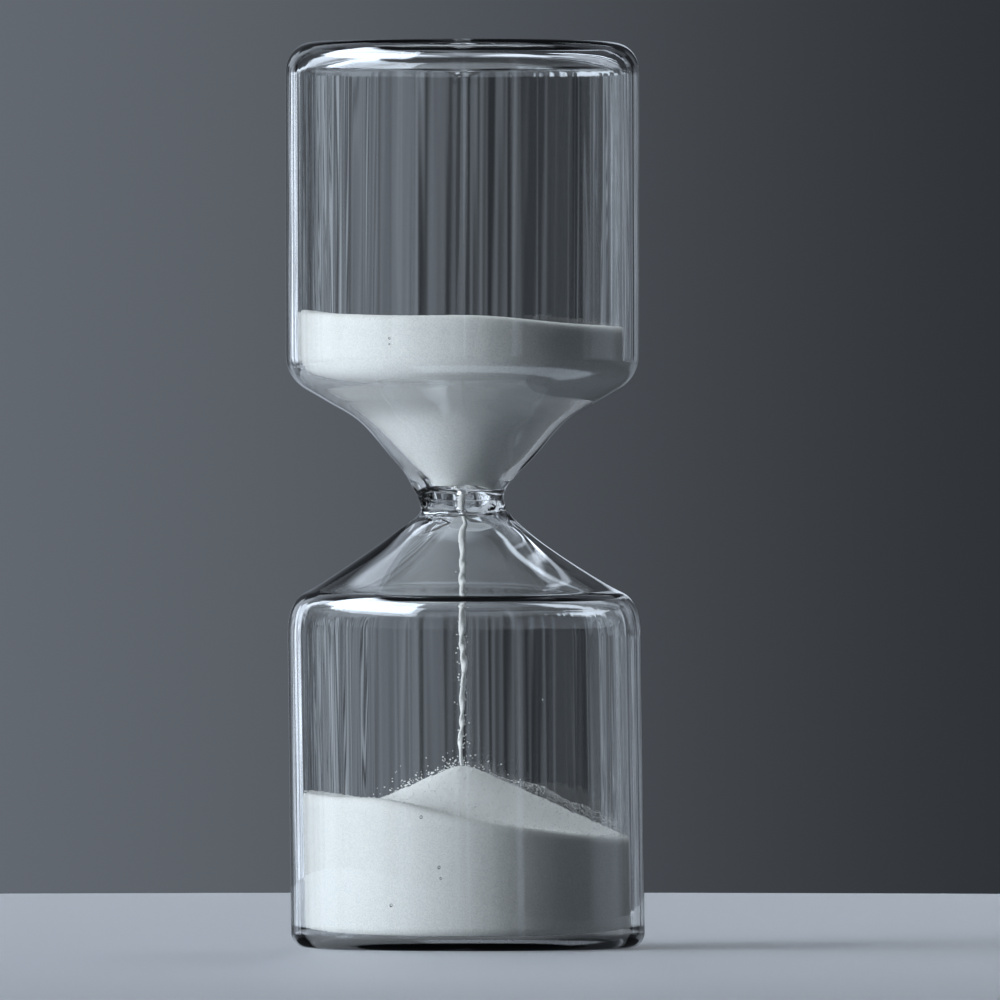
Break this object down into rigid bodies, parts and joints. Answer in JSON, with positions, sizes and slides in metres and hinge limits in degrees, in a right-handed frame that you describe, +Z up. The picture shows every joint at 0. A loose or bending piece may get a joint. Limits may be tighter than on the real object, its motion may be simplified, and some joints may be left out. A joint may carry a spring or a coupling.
{
  "type": "hourglass",
  "caption": "Frameless glass sandglass: two straight-walled bulbs with flat closed ends, joined by a narrow waist, with fine white sand part way through its run.",
  "frame": {"origin": "on the table, under the middle of the whole glass", "axes": "+Z up along the bulbs; the sand's surfaces and the lower bulb both lean down towards +X, and -Y faces the viewer"},
  "size_m": [0.0635, 0.0624, 0.16],
  "materials": {
    "glass": "clear colourless borosilicate glass, fire-polished, with faint draw lines along the barrels",
    "sand": "fine dry white sand, matt"
  },
  "bodies": {
    "glass": {"base_disc": "glass", "lower_barrel": "glass", "lower_shoulder": "glass", "waist": "glass", "upper_shoulder": "glass", "upper_barrel": "glass", "top_disc": "glass", "fill_seal": "glass"},
    "upper_heap": {"upper_sand": "sand"},
    "lower_heap": {"lower_sand": "sand", "falling_stream": "sand"}
  },
  "joints": [
    {"name": "upper_level_fall", "type": "slide", "parent": "glass", "child": "upper_heap", "axis": [0, 0, -1], "range_m": [-0.01, 0.0045], "deforming": ["upper_sand"]},
    {"name": "lower_level_rise", "type": "slide", "parent": "glass", "child": "lower_heap", "axis": [0, 0, 1], "range_m": [-0.01, 0.0045], "deforming": ["lower_sand", "falling_stream"]}
  ],
  "couplings": [
    {"joint": "lower_level_rise", "follows": "upper_level_fall", "ratio": 1}
  ]
}
